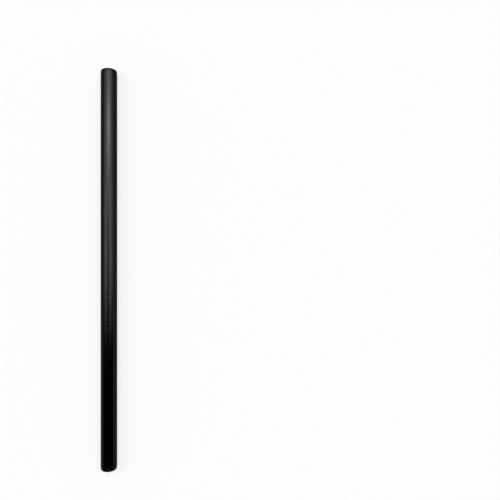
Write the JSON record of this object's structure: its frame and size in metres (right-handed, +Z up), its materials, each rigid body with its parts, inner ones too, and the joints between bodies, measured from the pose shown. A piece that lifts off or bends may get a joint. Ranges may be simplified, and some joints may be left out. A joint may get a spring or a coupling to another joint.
{
  "type": "drinking straw",
  "caption": "Straight drinking straw of opaque black glass: a plain tube, open right through, with both ends melted to smooth round lips.",
  "frame": {"origin": "middle of the straw, on its axis", "axes": "+X along the straw's axis; +Z up, with the straw lying on its side"},
  "size_m": [0.2, 0.008, 0.008],
  "materials": {
    "black_glass": "opaque black glass, drawn tube with a fire-polished gloss"
  },
  "bodies": {
    "root": {"straw": "black_glass"}
  },
  "joints": []
}
